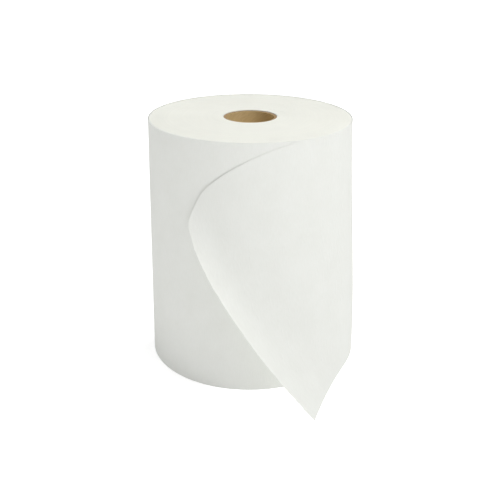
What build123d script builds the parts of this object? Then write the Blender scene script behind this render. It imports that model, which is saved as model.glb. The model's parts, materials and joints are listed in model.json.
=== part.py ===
"""A hard-wound roll of paper hand towel on its cardboard core, standing on one end.

Millimetres. The core's axis is Z and the roll stands on Z = 0. Angles round the roll
are in degrees, seen from above, from +X towards -Y, so 90 is the middle of the front.

Two pieces make the object: the core, and one endless web of paper wound on it. The
turns of the web are one solid, and the loose end of the same web, which comes off the
right side and swings out over the front, belongs to that solid too.
"""

import os
from math import cos, radians

from build123d import *

# ------------------------------------------------------------------ the roll
roll_length = 200.0          # width of the paper web, so the height as it stands
roll_diameter = 163.0        # over the wound turns
bore_diameter = 38.1         # inside the core, for a 1.5 in dispenser spindle
core_wall = 2.3              # spiral-wound cardboard

# ------------------------------------------------------- the loose end of the web
sheet_thickness = 0.5        # stands in for one embossed ply of paper, air included
sheet_gap = 0.5              # between the loose end and the turn under it, at the top
root_angle = -60.0           # where the loose end leaves the wound turns
root_turn = 22.0             # how far round it takes to come clear of them
slack_angle = 60.0           # how far round it takes to open to its full slack
slack = 6.3                  # how much further the sheet stands off, at the foot
leave_angle = 20.0           # where the sheet goes straight instead of round, at the foot
leave_climb = 124.0          # how much further round it does so at the top
sheet_end_foot = 80.0        # the untrimmed sheet reaches this far round at the foot
sheet_end_climb = 66.0       # and this much further at the top

# The free edge, from the upper corner to the point that touches the floor, as
# (angle round the roll, share of the roll's length above the floor).
free_edge = [
    (70.0, 1.00),
    (84.0, 0.953),
    (97.5, 0.911),
    (111.5, 0.828),
    (119.6, 0.75),
    (120.8, 0.68),
    (114.2, 0.563),
    (97.6, 0.367),
    (68.2, 0.00),
]

section_count = 9            # plan sections that the sheet is lofted through
section_points = 13          # points along each section
root_sink = 1.5              # how deep the root enters the turns
trim_margin = 10.0           # the trimming tool runs on this far

roll_radius = roll_diameter / 2
core_radius = bore_diameter / 2 + core_wall


def sheet_offset(angle, share):
    """How far the sheet's inner face stands off the roll's side."""
    opening = min(max((angle - root_angle) / slack_angle, 0.0), 1.0)
    eased = opening * opening * (3 - 2 * opening)
    held = roll_radius + sheet_gap + slack * (1 - share) * eased
    past = max(0.0, angle - leave_angle - leave_climb * share)
    return held / cos(radians(past)) - roll_radius


def sheet_point(angle, offset):
    """A point in plan, at an angle round the roll and a distance off its side."""
    return Vector(roll_radius + offset, 0).rotate(Axis.Z, -angle)


def sheet_path(share):
    """The sheet's inner face in plan: out of the turns, then round and away."""
    last_angle = sheet_end_foot + sheet_end_climb * share
    step = (last_angle - root_angle) / (section_points - 1)
    angles = [root_angle + step * i for i in range(section_points)]
    clear = [sheet_point(angle, sheet_offset(angle, share)) for angle in angles]
    sunk = sheet_point(root_angle - root_turn, -root_sink)
    return [sunk] + clear


# ------------------------------------------------------------------ core tube
with BuildPart() as core_tube:
    with BuildSketch(Plane.XY):
        Circle(core_radius)
        Circle(bore_diameter / 2, mode=Mode.SUBTRACT)
    extrude(amount=roll_length)

core_tube.part.label = "core_tube"

# ------------------------------------------------------------------ paper web
with BuildPart() as paper_web:
    # The loose sheet, as thin plan sections joined from the foot to the top.
    for section in range(section_count):
        share = section / (section_count - 1)
        with BuildSketch(Plane.XY.offset(share * roll_length)):
            with BuildLine():
                inner = Spline(*sheet_path(share))
                stations = [i / section_points for i in range(section_points + 1)]
                outward = [(inner % s).rotate(Axis.Z, 90) * sheet_thickness for s in stations]
                outer = Spline(*[(inner @ s) + out for s, out in zip(stations, outward)])
                Line(inner @ 0, outer @ 0)
                Line(inner @ 1, outer @ 1)
            make_face()
    loft()

    # Trim the sheet to its free edge, cutting straight back from the front.
    edge_points = []
    for angle, share in free_edge:
        plan = sheet_point(angle, sheet_offset(angle, share))
        edge_points.append((plan.X, share * roll_length))
    tool_left = -(roll_radius + 2 * trim_margin)
    tool_top = roll_length + trim_margin
    with BuildSketch(Plane.XZ):
        with BuildLine():
            edge = Spline(*edge_points)
            Polyline(
                edge @ 0,
                (edge_points[0][0], tool_top),
                (tool_left, tool_top),
                (tool_left, -trim_margin),
                (edge_points[-1][0], -trim_margin),
                edge @ 1,
            )
        make_face()
    extrude(amount=3 * roll_radius, mode=Mode.SUBTRACT)

    # The wound turns, seated on the core, take in the root of the sheet.
    with BuildSketch(Plane.XY):
        Circle(roll_radius)
        Circle(core_radius, mode=Mode.SUBTRACT)
    extrude(amount=roll_length)

paper_web.part.label = "paper_web"

# ------------------------------------------------------------------ files
os.makedirs("parts", exist_ok=True)
export_step(core_tube.part, "parts/core_tube.step")
export_step(paper_web.part, "parts/paper_web.step")
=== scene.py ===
# %% [markdown]
# # A roll of paper hand towel
#
# The roll stands on one end. One endless web of white paper is wound hard on a brown
# cardboard core, and the last of it comes off the right side and swings out over the
# front, down to a corner on the floor. Lengths are in metres. The core's axis is Z.
# Angles go round the roll in degrees, seen from above, from +X towards the front (-Y),
# so 0 is the right side, 90 the middle of the front and 180 the left side.

import json
import math

import bpy
import numpy as np
from mathutils import Matrix, Vector, noise


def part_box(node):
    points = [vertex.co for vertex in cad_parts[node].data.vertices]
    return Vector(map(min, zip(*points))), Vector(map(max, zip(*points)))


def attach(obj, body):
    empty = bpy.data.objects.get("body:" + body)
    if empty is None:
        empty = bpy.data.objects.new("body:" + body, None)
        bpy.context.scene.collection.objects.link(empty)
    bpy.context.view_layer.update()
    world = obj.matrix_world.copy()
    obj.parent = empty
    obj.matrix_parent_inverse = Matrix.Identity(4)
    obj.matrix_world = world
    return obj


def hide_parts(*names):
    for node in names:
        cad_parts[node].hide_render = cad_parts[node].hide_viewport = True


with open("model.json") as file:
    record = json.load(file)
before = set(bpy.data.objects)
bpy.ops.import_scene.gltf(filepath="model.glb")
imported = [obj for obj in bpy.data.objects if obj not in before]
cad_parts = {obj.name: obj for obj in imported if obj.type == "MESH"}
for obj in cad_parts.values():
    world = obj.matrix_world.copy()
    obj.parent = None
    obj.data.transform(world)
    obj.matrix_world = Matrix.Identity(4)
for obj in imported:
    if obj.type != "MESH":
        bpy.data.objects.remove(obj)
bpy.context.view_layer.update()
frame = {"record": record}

MM = 0.001
web_low, web_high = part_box("paper_web")
core_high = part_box("core_tube")[1]
roll_radius = -web_low.x
roll_length = web_high.z - web_low.z
core_radius = core_high.x
mounts = {mount["name"]: mount for mount in frame["record"]["mounts"]}
bore_radius = mounts["core_bore"]["dims"]["r_mm"] * MM
print("roll", roll_radius, roll_length, "core", core_radius, bore_radius)

# %% [markdown]
# ## The view
#
# A long lens from a little above shows the whole top of the roll. The camera leans down
# by about 19 degrees. A small vertical shift slides the picture down the film, as a view
# camera does, so that the sides of the roll converge only as much as the lean asks for.

# %% The camera
camera_place = Vector((0.0, -0.6620, 0.3623))
camera_ahead = Vector((0.000365, 0.943178, -0.332288))
camera_right = Vector((0.99998, 0.00176, 0.00610))
camera_up = camera_right.cross(camera_ahead)

camera_data = bpy.data.cameras.new("camera")
camera_data.sensor_width = 36.0
camera_data.lens = 61.37
camera_data.shift_y = -0.1
camera_data.clip_end = 60.0
camera = bpy.data.objects.new("camera", camera_data)
turn = Matrix((camera_right, camera_up, -camera_ahead)).transposed()
camera.matrix_world = Matrix.Translation(camera_place) @ turn.to_4x4()
bpy.context.scene.collection.objects.link(camera)
bpy.context.scene.camera = camera
print("camera", tuple(camera_place), "lens", camera_data.lens)

# %% [markdown]
# ## Nodes written as sums
#
# A finish is easier to read as arithmetic than as a web of boxes. `Socket` wraps one
# output of a node, so that `ridges * 0.4 + fibres` adds the Math nodes by itself.
# `Nodes.add` makes every other kind of node: it takes the settings first and then the
# values or links of the inputs.


# %% The two small classes that write node trees
class Socket:
    """One output of a node, or a plain sum of several."""

    def __init__(self, nodes, link):
        self.nodes = nodes
        self.link = link

    def math(self, operation, first, second):
        return self.nodes.add("ShaderNodeMath", {"operation": operation}, {0: first, 1: second})

    def __add__(self, other):
        return self.math("ADD", self, other)

    def __sub__(self, other):
        return self.math("SUBTRACT", self, other)

    def __mul__(self, other):
        return self.math("MULTIPLY", self, other)

    def __truediv__(self, other):
        return self.math("DIVIDE", self, other)


class Nodes:
    """A node tree, of a material or of a modifier, that nodes are added to."""

    def __init__(self, tree):
        self.tree = tree

    def add(self, kind, settings=None, inputs=None, output=0):
        node = self.tree.nodes.new(kind)
        for name, value in (settings or {}).items():
            setattr(node, name, value)
        for name, value in (inputs or {}).items():
            socket = self.find(node.inputs, name)
            if isinstance(value, Socket):
                self.tree.links.new(value.link, socket)
            else:
                socket.default_value = value
        if not node.outputs:
            return None
        return Socket(self, self.find(node.outputs, output))

    @staticmethod
    def find(sockets, name):
        if isinstance(name, int):
            return sockets[name]
        named = [s for s in sockets if s.identifier == name]
        return named[0] if named else sockets[name]


# %% [markdown]
# ## Short cuts for the finishes
#
# Every finish here is matt and fibrous, so each is a principled shader with a high
# roughness, a colour that drifts a little, and fine relief through a Bump node.


# %% Helpers that every finish shares
def start_finish(name):
    """A new material and the Nodes that fill it."""
    material = bpy.data.materials.new(name)
    material.use_nodes = True
    material.node_tree.nodes.clear()
    return material, Nodes(material.node_tree)


def close_finish(nodes, colour, height, relief, roughness, gloss):
    """The shader: a colour, and a height of about 0 to 1 that stands for relief in metres."""
    bump = nodes.add(
        "ShaderNodeBump", {}, {"Strength": 1.0, "Distance": relief, "Height": height}
    )
    inputs = {
        "Base Color": colour,
        "Normal": bump,
        "Roughness": roughness,
        "Specular IOR Level": gloss,
    }
    shader = nodes.add("ShaderNodeBsdfPrincipled", {}, inputs)
    nodes.add("ShaderNodeOutputMaterial", {}, {"Surface": shader})


def noise_at(nodes, place, detail, fineness):
    """Noise from 0 to 1, with about so many grains to the metre along each axis."""
    finer = nodes.add(
        "ShaderNodeVectorMath", {"operation": "MULTIPLY"}, {0: place, 1: fineness}
    )
    settings = {"noise_dimensions": "3D"}
    inputs = {"Vector": finer, "Scale": 1.0, "Detail": detail}
    return nodes.add("ShaderNodeTexNoise", settings, inputs, "Fac")


def blend_colours(nodes, factor, first, second):
    """first where factor is 0 and second where it is 1."""
    settings = {"data_type": "RGBA"}
    inputs = {"Factor_Float": factor, "A_Color": first, "B_Color": second}
    return nodes.add("ShaderNodeMix", settings, inputs, "Result_Color")


# %% [markdown]
# ## The towel's face
#
# Towel paper is creped: the wet web is scraped off a drum, which packs it into fine
# ridges that run across the web, so up and down on a roll that stands. It is then pressed
# between rolls with short raised bars. Both follow the web, not the room, so the pattern
# reads an attribute that holds the place on the flat web: along it and across it.

# %% Finish: creped towel paper
PAPER_WHITE = (0.80, 0.81, 0.775, 1.0)
PAPER_SHADE = (0.765, 0.775, 0.735, 1.0)
PAPER_RELIEF = 0.16 * MM


def towel_face_finish():
    material, nodes = start_finish("towel_face")
    place = nodes.add("ShaderNodeAttribute", {"attribute_name": "web"}, {}, "Vector")
    crepe = noise_at(nodes, place, 2.0, (1100.0, 210.0, 1.0))
    fibres = noise_at(nodes, place, 3.0, (2600.0, 2200.0, 1.0))
    bars = noise_at(nodes, place, 0.0, (420.0, 130.0, 1.0))
    raised = nodes.add(
        "ShaderNodeMapRange",
        {"interpolation_type": "SMOOTHSTEP"},
        {"Value": bars, "From Min": 0.62, "From Max": 0.72},
    )
    cloud = noise_at(nodes, place, 3.0, (60.0, 45.0, 1.0))
    speckle = crepe * 0.35 + fibres * 0.25 + cloud * 0.4
    patch = nodes.add(
        "ShaderNodeMapRange", {}, {"Value": speckle, "From Min": 0.35, "From Max": 0.65}
    )
    colour = blend_colours(nodes, patch, PAPER_SHADE, PAPER_WHITE)
    height = crepe * 0.6 + fibres * 0.25 + raised * 0.35
    close_finish(nodes, colour, height, PAPER_RELIEF, 0.95, 0.15)
    return material


towel_face = towel_face_finish()
print("finish", towel_face.name)

# %% [markdown]
# ## The edges of the turns
#
# The ends of the roll show the cut edges of hundreds of turns. The slitting knife leaves
# them matt and a touch warmer than the face, and bands of turns that were wound a
# little tighter or looser show as faint rings.

# %% Finish: cut paper edges
EDGE_WHITE = (0.85, 0.855, 0.79, 1.0)
EDGE_SHADE = (0.81, 0.815, 0.755, 1.0)
EDGE_RELIEF = 0.12 * MM


def cut_edge_finish():
    material, nodes = start_finish("cut_edges")
    place = nodes.add("ShaderNodeTexCoord", {}, {}, "Object")
    flat = nodes.add(
        "ShaderNodeVectorMath", {"operation": "MULTIPLY"}, {0: place, 1: (1.0, 1.0, 0.0)}
    )
    radius = nodes.add("ShaderNodeVectorMath", {"operation": "LENGTH"}, {0: flat}, "Value")
    ring = nodes.add("ShaderNodeCombineXYZ", {}, {"X": radius, "Y": 0.0, "Z": 0.0})
    bands = noise_at(nodes, ring, 4.0, (350.0, 1.0, 1.0))
    fluff = noise_at(nodes, place, 4.0, (700.0, 700.0, 700.0))
    cloud = noise_at(nodes, place, 2.0, (45.0, 45.0, 45.0))
    mixed = bands * 0.45 + fluff * 0.25 + cloud * 0.3
    patch = nodes.add(
        "ShaderNodeMapRange", {}, {"Value": mixed, "From Min": 0.35, "From Max": 0.62}
    )
    colour = blend_colours(nodes, patch, EDGE_SHADE, EDGE_WHITE)
    close_finish(nodes, colour, fluff, EDGE_RELIEF, 0.97, 0.1)
    return material


cut_edges = cut_edge_finish()
print("finish", cut_edges.name)

# %% [markdown]
# ## The core's board
#
# The core is recycled kraft board, wound from strips on a slant and glued. The strips'
# fibres lie along the slant, and darker and lighter flecks show the recycled pulp. The
# cut ends of the tube are given a darker colour than its wound faces: a painted shade,
# which keeps them from going too bright under the light from above.

# %% Finish: kraft core board
BOARD_LIGHT = (0.84, 0.66, 0.37, 1.0)
BOARD_DARK = (0.68, 0.52, 0.27, 1.0)
# painted shade: the colour of the faces that point up or down, the tube's cut ends
CUT_END_PAINTED_SHADE = (0.34, 0.235, 0.125, 1.0)
FLECK = (0.26, 0.16, 0.08, 1.0)
BOARD_RELIEF = 0.12 * MM


def core_board_finish():
    material, nodes = start_finish("core_board")
    place = nodes.add("ShaderNodeAttribute", {"attribute_name": "ply"}, {}, "Vector")
    grain = noise_at(nodes, place, 4.0, (160.0, 1500.0, 900.0))
    cloud = noise_at(nodes, place, 3.0, (55.0, 90.0, 60.0))
    tone = nodes.add(
        "ShaderNodeMapRange",
        {},
        {"Value": grain * 0.55 + cloud * 0.45, "From Min": 0.35, "From Max": 0.65},
    )
    board = blend_colours(nodes, tone, BOARD_DARK, BOARD_LIGHT)
    dots = noise_at(nodes, place, 1.0, (700.0, 1800.0, 900.0))
    fleck = nodes.add(
        "ShaderNodeMapRange", {}, {"Value": dots, "From Min": 0.70, "From Max": 0.78}
    )
    flecked = blend_colours(nodes, fleck * 0.5, board, FLECK)
    # Painted shade: faces that point up or down, the cut ends, are darkened by the way they
    # face.
    facing = nodes.add("ShaderNodeNewGeometry", {}, {}, "Normal")
    upward = nodes.add("ShaderNodeSeparateXYZ", {}, {"Vector": facing}, "Z")
    painted_end_shade = nodes.add(
        "ShaderNodeMapRange",
        {"interpolation_type": "SMOOTHSTEP"},
        {"Value": upward * upward, "From Min": 0.3, "From Max": 0.7},
    )
    colour = blend_colours(nodes, painted_end_shade, flecked, CUT_END_PAINTED_SHADE)
    close_finish(nodes, colour, grain, BOARD_RELIEF, 0.85, 0.25)
    return material


core_board = core_board_finish()
print("finish", core_board.name)

# %% [markdown]
# ## Meshes from grids
#
# A sheet and a tube are both grids of points that are bent into place. A shell is made
# from two such grids, its outer and its inner face, joined round the rim, so that it is
# closed and has a real thickness. Where a grid meets itself, as a tube does, the two
# edges share their points instead of having a rim.


# %% The helpers that turn grids into closed shells
SHARP_CORNER = 40.0         # degrees


def grid_faces(index, flip=False):
    """Quads over a 2-D array of point numbers."""
    corners = [index[:-1, :-1], index[1:, :-1], index[1:, 1:], index[:-1, 1:]]
    if flip:
        corners.reverse()
    return np.stack([c.ravel() for c in corners], axis=1)


def mesh_piece(name, points, faces, finish, attribute, values):
    """An object from points and quads, with a vector for each point. It is smooth but
    for corners sharper than SHARP_CORNER."""
    mesh = bpy.data.meshes.new(name)
    mesh.from_pydata(points.tolist(), [], faces.tolist())
    mesh.polygons.foreach_set("use_smooth", np.ones(len(mesh.polygons), bool))
    layer = mesh.attributes.new(attribute, "FLOAT_VECTOR", "POINT")
    layer.data.foreach_set("vector", values.astype(np.float32).ravel())
    mesh.materials.append(finish)
    mesh.update()
    mesh.set_sharp_from_angle(angle=math.radians(SHARP_CORNER))
    piece = bpy.data.objects.new(name, mesh)
    bpy.context.scene.collection.objects.link(piece)
    print(name, len(mesh.vertices), "points", len(mesh.polygons), "faces")
    return piece


def grid_normals(grid):
    """Unit normals of a grid of points, which on the roll point towards its axis."""
    along = np.gradient(grid, axis=1)
    across = np.gradient(grid, axis=0)
    normals = np.cross(along, across)
    return normals / np.linalg.norm(normals, axis=2, keepdims=True)


# %% [markdown]
# ## The shape of the loose end
#
# The web lies on the roll until it comes round the back right. There it begins to lift,
# more at the foot than at the top, where it is still held. Past a line that climbs round
# the front it stops curving and goes straight on, as paper does that is pulled away, so
# the foot of it stands well clear of the roll. Close to the free edge it bends a little
# further out. The rules give the web's inner face. The solid model follows the same ones
# without that bend and with slightly different values, so the two lie within about 2 mm
# of each other, but for the last stretch before the free edge.

# %% The rules of the loose end
SHEET_THICKNESS = 0.35 * MM # laid on outside the face that the rules give
TOP_DRAW_IN = 0.65 * MM     # how much narrower the roll is at its top
ROOT_ANGLE = -75.0          # where the web begins to lift off the turns
SLACK_END_ANGLE = 0.0       # where it has opened to its full slack
SLACK_FOOT = 7.2 * MM       # how far it stands off at the foot
SLACK_FALL = 1.68           # how fast that falls to nothing at the top
LEAVE_ANGLE = 24.0          # where it goes straight instead of round, at the foot
LEAVE_CLIMB = 120.0         # how much further round it does so at the top
LEAVE_SOFTNESS = 5.0        # degrees over which round turns to straight
OUTWARD_CURL = 0.0018       # the part past that line curls out a little
STEEPEST = 80.0             # most degrees past that line, which keeps the cosine away from 0
EDGE_CURL = 38.0            # degrees by which the last of the web bends out
EDGE_CURL_REACH = 22 * MM   # how far from the free edge that begins
CURL_PEAK = 0.35            # share of the roll's length at which it is strongest
CURL_END = 0.80             # and where it is gone again

# The free edge, from the upper corner to the corner on the floor, as
# (angle round the roll, share of the roll's length above the floor).
FREE_EDGE = [
    (63.0, 1.00),
    (76.8, 0.976),
    (91.0, 0.934),
    (104.7, 0.873),
    (115.4, 0.800),
    (121.0, 0.700),
    (118.4, 0.630),
    (110.5, 0.522),
    (100.6, 0.400),
    (91.2, 0.282),
    (82.4, 0.176),
    (74.4, 0.080),
    (68.3, 0.00),
]


def smooth_step(x):
    x = np.clip(x, 0.0, 1.0)
    return x * x * (3.0 - 2.0 * x)


def hard_radius(share):
    """Radius of the hard-wound roll, which draws in a little towards the top."""
    return roll_radius - TOP_DRAW_IN * share**1.5


def web_radius(angle, share):
    """Distance of the web's inner face from the axis, past ROOT_ANGLE."""
    opening = smooth_step((angle - ROOT_ANGLE) / (SLACK_END_ANGLE - ROOT_ANGLE))
    slack = SLACK_FOOT * np.maximum(np.cos(share * math.pi / 2), 0.0) ** SLACK_FALL
    held = hard_radius(share) + slack * opening
    ahead = (angle - LEAVE_ANGLE - LEAVE_CLIMB * share) / LEAVE_SOFTNESS
    past = LEAVE_SOFTNESS * np.logaddexp(0.0, ahead)
    past = past * (1.0 + OUTWARD_CURL * past)
    return held / np.cos(np.radians(np.minimum(past, STEEPEST)))


def edge_curl(to_edge, share):
    """How far out the web has bent, at a distance from its free edge."""
    growing = smooth_step(share / CURL_PEAK)
    fading = 1.0 - smooth_step((share - CURL_PEAK) / (CURL_END - CURL_PEAK))
    furthest = math.radians(EDGE_CURL) * EDGE_CURL_REACH / 2
    nearness = np.clip(1.0 - to_edge / EDGE_CURL_REACH, 0.0, 1.0)
    return furthest * growing * fading * nearness**2


def smooth_curve(points, steps=24):
    """Points along a smooth curve that passes through the given ones."""
    points = np.array(points, float)
    padded = np.vstack([2 * points[0] - points[1], points, 2 * points[-1] - points[-2]])
    slopes = (padded[2:] - padded[:-2]) / 2
    t = np.linspace(0.0, 1.0, steps, endpoint=False)[:, None]
    pieces = []
    for i in range(len(points) - 1):
        pieces.append(
            (2 * t**3 - 3 * t**2 + 1) * points[i]
            + (t**3 - 2 * t**2 + t) * slopes[i]
            + (3 * t**2 - 2 * t**3) * points[i + 1]
            + (t**3 - t**2) * slopes[i + 1]
        )
    return np.vstack(pieces + [points[-1:]])


edge_curve = smooth_curve(FREE_EDGE)[::-1]


def free_edge_angle(share):
    """How far round the free edge is, at a share of the roll's length."""
    return np.interp(share, edge_curve[:, 1], edge_curve[:, 0])


print("free edge reaches", edge_curve[:, 0].max(), "degrees round")

# %% [markdown]
# ## The last turn
#
# One grid of points makes the whole outer turn of the web and its loose end, so that
# the crepe runs on without a seam. Each row is a line round the roll at one height. The
# columns start under the loose end, go once round the left and the back, and then share
# out the way from the root to the free edge. A slow unevenness is added to the grid,
# since real paper is never quite true, and the free edge is a little ragged.

# %% The last turn of the web, with its loose end
WOUND_COLUMNS = 170
LOOSE_COLUMNS = 150
SHEET_ROWS = 111
START_ANGLE = -300.0        # where the last turn starts, under the loose end
LAP = 0.38 * MM             # how much deeper it starts than it ends
RAGGED_EDGE = 0.5 * MM      # unevenness of the cut along the free edge
SWELL = 0.06 * MM           # unevenness of the web where it is held
FLUTTER = 0.6 * MM          # and where it is loose
FLUTTER_ANGLE = 90.0        # degrees past SLACK_END_ANGLE at which it is fully loose
CORNER_SHARE = 0.02         # how close to its corners the free edge is cut clean


def ragged(heights, size):
    """Small uneven steps along a cut, one for each height."""
    coarse = [noise.noise(Vector((h * 160.0, 3.1, 0.0))) for h in heights]
    fine = [noise.noise(Vector((h * 620.0, 7.7, 0.0))) for h in heights]
    return size * (0.6 * np.array(coarse) + 0.4 * np.array(fine))


def unevenness(place, size, scale):
    """Slow noise over the flat web."""
    return size * np.array([noise.noise(Vector((u * scale, v * scale, 0.5))) for u, v in place])


def lap_depth(angles):
    """How far under the outermost turn the web lies before it comes to ROOT_ANGLE."""
    return LAP * (ROOT_ANGLE - angles) / (ROOT_ANGLE - START_ANGLE)


def last_turn():
    shares = np.linspace(0.0, 1.0, SHEET_ROWS)
    heights = shares * roll_length
    wound = np.linspace(START_ANGLE, ROOT_ANGLE, WOUND_COLUMNS, endpoint=False)
    raggedness = np.degrees(ragged(heights, RAGGED_EDGE) / roll_radius)
    raggedness *= smooth_step(shares / CORNER_SHARE) * smooth_step((1 - shares) / CORNER_SHARE)
    ends = free_edge_angle(shares) + raggedness
    part = np.linspace(0.0, 1.0, LOOSE_COLUMNS)
    angles = np.empty((SHEET_ROWS, WOUND_COLUMNS + LOOSE_COLUMNS))
    angles[:, :WOUND_COLUMNS] = wound
    angles[:, WOUND_COLUMNS:] = ROOT_ANGLE + part * (ends[:, None] - ROOT_ANGLE)

    height = np.repeat(shares[:, None], angles.shape[1], axis=1)
    radius = web_radius(angles, height)
    on_roll = hard_radius(height) - lap_depth(angles)
    radius = np.where(angles < ROOT_ANGLE, on_roll, radius)
    turned = np.radians(angles)
    flat = np.stack([radius * np.cos(turned), -radius * np.sin(turned)], axis=2)
    steps = np.linalg.norm(np.diff(flat, axis=1), axis=2)
    along = np.hstack([np.zeros((SHEET_ROWS, 1)), np.cumsum(steps, axis=1)])
    web = np.stack([along, height * roll_length, np.zeros_like(along)], axis=2)

    grid = np.dstack([flat, height * roll_length])
    normals = grid_normals(grid)
    place = web[:, :, :2].reshape(-1, 2)
    swell = unevenness(place, SWELL, 26.0).reshape(along.shape)
    loose = smooth_step((angles - SLACK_END_ANGLE) / FLUTTER_ANGLE)
    flutter = unevenness(place, FLUTTER, 13.0).reshape(along.shape)
    inward = np.stack([normals[:, :, 0], normals[:, :, 1], np.zeros_like(along)], axis=2)
    curl = edge_curl(along[:, -1:] - along, height)
    inner = grid + inward * (swell + flutter * loose * (1.0 - height) - curl)[:, :, None]
    outer = inner - grid_normals(inner) * SHEET_THICKNESS
    outer[:, :, 2] = inner[:, :, 2]
    return inner, outer, web


inner_face, outer_face, web_place = last_turn()
print("loose end reaches", outer_face[:, :, 1].min(), "in front")

# %% [markdown]
# The inner and the outer face are joined by a strip round all four edges. The strip uses
# the same points as the faces, so the shell is closed.


# %% Closing a sheet into a shell
def closed_sheet(name, inner, outer, place, finish, attribute):
    rows, columns = inner.shape[:2]
    inside = np.arange(rows * columns).reshape(rows, columns)
    outside = inside + rows * columns
    rims = [
        np.stack([inside[0], outside[0]]),
        np.stack([outside[-1], inside[-1]]),
        np.stack([outside[:, 0], inside[:, 0]]),
        np.stack([inside[:, -1], outside[:, -1]]),
    ]
    faces = [grid_faces(inside, flip=True), grid_faces(outside)]
    faces += [grid_faces(rim) for rim in rims]
    points = np.vstack([inner.reshape(-1, 3), outer.reshape(-1, 3)])
    values = np.vstack([place.reshape(-1, 3)] * 2)
    return mesh_piece(name, points, np.vstack(faces), finish, attribute, values)


last_turn_piece = closed_sheet("last_turn", inner_face, outer_face, web_place, towel_face, "web")

# %% [markdown]
# ## The wound turns under it
#
# Everything inside the last turn is one hard block of paper, so it is made as a thick
# ring. Its side shows under the loose end and carries the same crepe. Its ends lie a
# little inside the roll's ends, because the cut edges of the turns are laid on them as
# a piece of their own.

# %% The ring of wound turns
EDGE_DEPTH = 0.20 * MM      # how deep the cut edges of the turns stand
RING_COLUMNS = 360
RING_GAP = 0.37 * MM        # between the last turn and the ring
CORE_CLEARANCE = 0.05 * MM
RING_ROWS = 41
END_ROWS = 12
STEP_LEAD = 4.0             # degrees before the web's start where the ring steps down
STEP_LENGTH = 3.0           # degrees that the step takes


def ring_depth(angles):
    """How far inside the roll's radius the ring lies, all round, from START_ANGLE on."""
    wound = lap_depth(np.minimum(angles, ROOT_ANGLE))
    start = angles - (START_ANGLE + 360.0)
    step = LAP * smooth_step((start + STEP_LEAD) / STEP_LENGTH)
    return RING_GAP + wound + step


def wound_ring():
    inside = core_radius + CORE_CLEARANCE
    foot, top = EDGE_DEPTH, roll_length - EDGE_DEPTH
    around = START_ANGLE + np.linspace(0.0, 360.0, RING_COLUMNS, endpoint=False)
    heights = np.linspace(foot, top, RING_ROWS)
    outside = hard_radius(heights[:, None] / roll_length) - ring_depth(around)
    inward = np.linspace(0.0, 1.0, END_ROWS + 1)[1:]
    across_top = outside[-1] + inward[:, None] * (inside - outside[-1])
    across_foot = outside[0] + inward[::-1, None] * (inside - outside[0])
    radius = np.vstack([outside, across_top, across_foot])
    height = np.concatenate([heights, [top] * len(inward), [foot] * len(inward)])[:, None]
    turned = np.radians(around)
    ring = np.dstack(
        [radius * np.cos(turned), -radius * np.sin(turned), height + 0 * radius]
    )
    place = np.dstack([radius * (turned - turned[0]), height + 0 * radius, 0 * radius])
    index = np.arange(ring.shape[0] * RING_COLUMNS).reshape(ring.shape[0], RING_COLUMNS)
    index = np.vstack([index, index[:1]])
    index = np.hstack([index, index[:, :1]])
    return ring.reshape(-1, 3), grid_faces(index), place.reshape(-1, 3)


ring_points, ring_faces, ring_place = wound_ring()
wound_turns = mesh_piece("wound_turns", ring_points, ring_faces, towel_face, "web", ring_place)

# %% [markdown]
# ## The cut edges, with Geometry Nodes
#
# The end of the roll is one long spiral: the edge of the web, seen from above. So a
# spiral curve is the natural start. It is given a thin rectangular section, and before
# that its points are lifted and lowered by noise that changes fast from turn to turn and
# slowly along one, which is how the edges of real turns lie. A roll has hundreds of
# turns, and this spiral stands for them with fewer, coarser ones.


# %% The Geometry Nodes tree of the cut edges
EDGE_INPUTS = ["Inner Radius", "Outer Radius", "Pitch", "Width", "Depth", "Unevenness", "Seed"]


def edge_tree(finish):
    tree = bpy.data.node_groups.new("cut_edges_of_turns", "GeometryNodeTree")
    make_socket = tree.interface.new_socket
    for name in EDGE_INPUTS:
        make_socket(name, in_out="INPUT", socket_type="NodeSocketFloat")
    make_socket("Geometry", in_out="OUTPUT", socket_type="NodeSocketGeometry")
    nodes = Nodes(tree)
    sizes = tree.nodes.new("NodeGroupInput")

    def size(name):
        return Socket(nodes, sizes.outputs[name])

    turns = (size("Outer Radius") - size("Inner Radius")) / size("Pitch")
    spiral = nodes.add(
        "GeometryNodeCurveSpiral",
        {},
        {
            "Resolution": 144,
            "Rotations": turns,
            "Start Radius": size("Inner Radius"),
            "End Radius": size("Outer Radius"),
            "Height": 0.0,
        },
    )
    place = nodes.add("GeometryNodeInputPosition")
    radius = nodes.add("ShaderNodeVectorMath", {"operation": "LENGTH"}, {0: place}, "Value")
    slow = nodes.add(
        "ShaderNodeVectorMath", {"operation": "SCALE"}, {0: place, "Scale": 14.0}
    )
    turn = nodes.add("ShaderNodeCombineXYZ", {}, {"Z": radius * 900.0 + size("Seed")})
    lookup = nodes.add("ShaderNodeVectorMath", {"operation": "ADD"}, {0: slow, 1: turn})
    wander = nodes.add(
        "ShaderNodeTexNoise", {}, {"Vector": lookup, "Scale": 1.0, "Detail": 2.0}, "Fac"
    )
    lift = nodes.add(
        "ShaderNodeCombineXYZ", {}, {"Z": (wander - 0.5) * size("Unevenness")}
    )
    uneven = nodes.add(
        "GeometryNodeSetPosition", {}, {"Geometry": spiral, "Offset": lift}
    )
    section = nodes.add(
        "GeometryNodeCurvePrimitiveQuadrilateral",
        {"mode": "RECTANGLE"},
        {"Width": size("Width"), "Height": size("Depth")},
    )
    walls = nodes.add(
        "GeometryNodeCurveToMesh",
        {},
        {"Curve": uneven, "Profile Curve": section, "Fill Caps": True},
        "Mesh",
    )
    whole = nodes.add("GeometryNodeRealizeInstances", {}, {"Geometry": walls})
    finished = nodes.add(
        "GeometryNodeSetMaterial", {}, {"Geometry": whole, "Material": finish}
    )
    nodes.add("NodeGroupOutput", {}, {"Geometry": finished})
    return tree


edges_of_turns = edge_tree(cut_edges)

# %% [markdown]
# The tree is used twice, for the top and for the foot, with another seed each time. The
# result is copied to a plain mesh, and the modifier goes.

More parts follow.
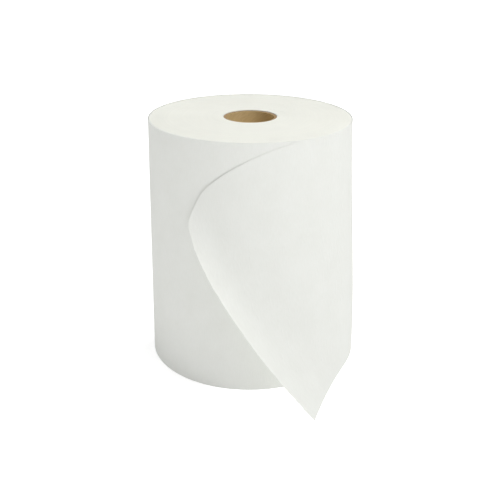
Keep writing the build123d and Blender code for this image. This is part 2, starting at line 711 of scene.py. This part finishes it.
# %% The cut edges at both ends
EDGE_PITCH = 0.75 * MM
EDGE_WIDTH = 0.71 * MM
EDGE_UNEVENNESS = 0.14 * MM


def cut_edge_piece(name, share, middle_height, seed):
    carrier = bpy.data.objects.new(name, bpy.data.meshes.new(name))
    bpy.context.scene.collection.objects.link(carrier)
    modifier = carrier.modifiers.new("turns", "NODES")
    modifier.node_group = edges_of_turns
    outside = hard_radius(share) - ring_depth(np.array([START_ANGLE]))[0]
    wanted = {
        "Inner Radius": core_radius + EDGE_WIDTH / 2 + CORE_CLEARANCE,
        "Outer Radius": outside - EDGE_WIDTH / 2,
        "Pitch": EDGE_PITCH,
        "Width": EDGE_WIDTH,
        "Depth": 2 * EDGE_DEPTH,
        "Unevenness": EDGE_UNEVENNESS,
        "Seed": seed,
    }
    for item in edges_of_turns.interface.items_tree:
        if item.in_out == "INPUT":
            modifier[item.identifier] = wanted[item.name]
    bpy.context.view_layer.update()
    evaluated = carrier.evaluated_get(bpy.context.evaluated_depsgraph_get())
    mesh = bpy.data.meshes.new_from_object(evaluated)
    carrier.modifiers.remove(modifier)
    mesh.transform(Matrix.Translation((0.0, 0.0, middle_height)))
    carrier.data = mesh
    print(name, len(mesh.polygons), "faces", "size", carrier.dimensions[:])
    return carrier


edge_middle = EDGE_DEPTH + EDGE_UNEVENNESS / 4
top_edges = cut_edge_piece("top_edges", 1.0, roll_length - edge_middle, 0.0)
foot_edges = cut_edge_piece("foot_edges", 0.0, edge_middle, 40.0)

# %% [markdown]
# ## The core
#
# The tube is wound on a mandrel from strips of board that lie on a slant, so its bore
# shows a seam that climbs like a screw thread. The wall is made as a closed grid: up
# the bore, across the cut end, down the outside and back. Near the seam the bore is
# let in by a fraction of a millimetre, and the cut ends are stepped between the plies.

# %% The core tube
SEAM_LEAD = 92 * MM         # how far the seam climbs in one turn
SEAM_WIDTH = 0.9 * MM
SEAM_DEPTH = 0.28 * MM
CORE_COLUMNS = 160
PLY_COUNT = 4
PLY_STEP = 0.10 * MM        # how far every other ply stands back at a cut end
CORE_ROWS = 181
CORE_SHORT = 0.8 * MM       # how far each end lies inside the end of the roll


def core_tube():
    wall = core_radius - bore_radius
    foot, top = CORE_SHORT, roll_length - CORE_SHORT
    rise = np.linspace(foot, top, CORE_ROWS)
    plies = np.linspace(0.0, 1.0, 2 * PLY_COUNT + 1)[1:-1]
    step = np.where(np.arange(len(plies)) % 2 == 0, 0.0, PLY_STEP)
    profile = [(bore_radius, z) for z in rise]
    profile += [(bore_radius + wall * p, top - s) for p, s in zip(plies, step)]
    profile += [(core_radius, z) for z in (top, foot)]
    profile += [(core_radius - wall * p, foot + s) for p, s in zip(plies, step)]
    profile = np.array(profile)
    turned = np.linspace(0.0, 2 * math.pi, CORE_COLUMNS, endpoint=False)
    radius = profile[:, :1] + 0 * turned
    height = profile[:, 1:] + 0 * turned
    climb = height / SEAM_LEAD - turned / (2 * math.pi)
    off_seam = np.abs(climb - np.round(climb)) * SEAM_LEAD
    groove = SEAM_DEPTH * (1.0 - smooth_step(off_seam / SEAM_WIDTH))
    radius += np.where(profile[:, :1] < bore_radius + 1e-6, groove, 0.0)
    tube = np.dstack([radius * np.cos(turned), -radius * np.sin(turned), height])
    slant = math.atan2(SEAM_LEAD, 2 * math.pi * bore_radius)
    around = radius * turned
    ply = np.dstack(
        [
            around * math.cos(slant) + height * math.sin(slant),
            height * math.cos(slant) - around * math.sin(slant),
            radius,
        ]
    )
    index = np.arange(tube.shape[0] * CORE_COLUMNS).reshape(tube.shape[0], CORE_COLUMNS)
    index = np.vstack([index, index[:1]])
    index = np.hstack([index, index[:, :1]])
    return tube.reshape(-1, 3), grid_faces(index, flip=True), ply.reshape(-1, 3)


core_points, core_faces, core_ply = core_tube()
core_piece = mesh_piece("core", core_points, core_faces, core_board, "ply", core_ply)

# %% [markdown]
# ## The studio
#
# The roll stands on a plain white sweep. The sweep glows by itself, as a light table
# does, so that it stays white and throws light up at the sides. Close to the roll on its
# left the glow is weaker: that is a painted shadow, and the real shadow of the roll on the
# matt part of the sweep shows in it too. From below the sweep is clear, so that the end
# that the roll stands on can be seen.

# %% The floor
WHITE = (1.0, 1.0, 1.0, 1.0)
FLOOR_REACH = 14.0
FLOOR_DROP = 0.2 * MM       # how far it lies under the foot of the roll
FLOOR_WHITE = (0.90, 0.90, 0.90, 1.0)
GLOW_STRENGTH = 1.66
GLOW_SHARE = 0.75           # how much of the floor's brightness is its own light
# Painted shadow: a patch left of the roll's foot, where less of the floor's brightness is its
# own glow.
PAINTED_SHADOW_SHARE = 0.38          # and how much in the shade beside the roll
PAINTED_SHADOW_PLACE = (-62 * MM, -36 * MM, 0.0)
PAINTED_SHADOW_INSIDE = 35 * MM      # radius within which the shade is full
PAINTED_SHADOW_OUTSIDE = 80 * MM     # and where it ends


def floor_finish():
    material, nodes = start_finish("white_sweep")
    place = nodes.add("ShaderNodeTexCoord", {}, {}, "Object")
    distance = nodes.add(
        "ShaderNodeVectorMath", {"operation": "DISTANCE"}, {0: place, 1: PAINTED_SHADOW_PLACE}, "Value"
    )
    # Painted shadow: the glow's share falls off close to the roll's foot on its left.
    share = nodes.add(
        "ShaderNodeMapRange",
        {"interpolation_type": "SMOOTHSTEP"},
        {
            "Value": distance,
            "From Min": PAINTED_SHADOW_INSIDE,
            "From Max": PAINTED_SHADOW_OUTSIDE,
            "To Min": PAINTED_SHADOW_SHARE,
            "To Max": GLOW_SHARE,
        },
    )
    matt = nodes.add("ShaderNodeBsdfDiffuse", {}, {"Color": FLOOR_WHITE})
    glow = nodes.add(
        "ShaderNodeEmission", {}, {"Color": WHITE, "Strength": GLOW_STRENGTH}
    )
    both = nodes.add("ShaderNodeMixShader", {}, {"Fac": share, 1: matt, 2: glow})
    below = nodes.add("ShaderNodeNewGeometry", {}, {}, "Backfacing")
    clear = nodes.add("ShaderNodeBsdfTransparent")
    seen = nodes.add("ShaderNodeMixShader", {}, {"Fac": below, 1: both, 2: clear})
    nodes.add("ShaderNodeOutputMaterial", {}, {"Surface": seen})
    return material


floor_corners = FLOOR_REACH * np.array([(-1, -1, 0), (1, -1, 0), (1, 1, 0), (-1, 1, 0)])
floor_mesh = bpy.data.meshes.new("floor")
floor_mesh.from_pydata(floor_corners.tolist(), [], [(0, 1, 2, 3)])
floor_mesh.materials.append(floor_finish())
floor = bpy.data.objects.new("floor", floor_mesh)
floor.location.z = -FLOOR_DROP
bpy.context.scene.collection.objects.link(floor)

# %% [markdown]
# A soft box stands to the right and in front, so the right of the roll is the lighter
# side. A wide one overhead makes the end of the roll the brightest face. A very weak one
# on the left and a dim room fill in the rest, and a small card close to the floor, in
# front on the left, lights the lower part. The room gives little light but is seen as
# white, as a sweep lit by lamps of its own would be.


# %% The lights
def soft_box(name, place, aim, size, watts):
    light = bpy.data.lights.new(name, "AREA")
    light.shape = "DISK"
    light.size = size
    light.energy = watts
    lamp = bpy.data.objects.new(name, light)
    lamp.location = place
    look = Vector(aim) - Vector(place)
    lamp.rotation_euler = look.to_track_quat("-Z", "Y").to_euler()
    lamp.visible_camera = False
    bpy.context.scene.collection.objects.link(lamp)


soft_box("key", (0.95, -0.75, 1.65), (0.0, 0.0, 0.1), 0.9, 16.5)
soft_box("fill", (-1.2, -1.8, 0.9), (0.0, 0.0, 0.1), 1.6, 0.1)
soft_box("overhead", (0.0, 0.1, 2.2), (0.0, 0.0, 0.2), 2.0, 35.0)
soft_box("card", (-0.26, -0.34, 0.03), (0.0, 0.0, 0.05), 0.28, 0.14)

ROOM_LIGHT = 0.12

world = bpy.data.worlds.new("studio")
world.use_nodes = True
world.node_tree.nodes.clear()
sky = Nodes(world.node_tree)
light_given = sky.add("ShaderNodeBackground", {}, {"Color": WHITE, "Strength": ROOM_LIGHT})
backdrop = sky.add("ShaderNodeBackground", {}, {"Color": WHITE, "Strength": 1.0})
looked_at = sky.add("ShaderNodeLightPath", {}, {}, "Is Camera Ray")
room = sky.add("ShaderNodeMixShader", {}, {"Fac": looked_at, 1: light_given, 2: backdrop})
sky.add("ShaderNodeOutputWorld", {}, {"Surface": room})
bpy.context.scene.world = world
bpy.context.scene.view_settings.view_transform = "Standard"

# %% [markdown]
# ## What stands for what
#
# The web's solid is shown as the last turn, the ring of turns and the cut edges. The
# core's solid is shown as the wound tube. All of them ride on the one body.

# %% Handing the pieces over
for piece in (last_turn_piece, wound_turns, top_edges, foot_edges):
    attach(piece, "root")
    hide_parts("paper_web")
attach(core_piece, "root")
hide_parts("core_tube")
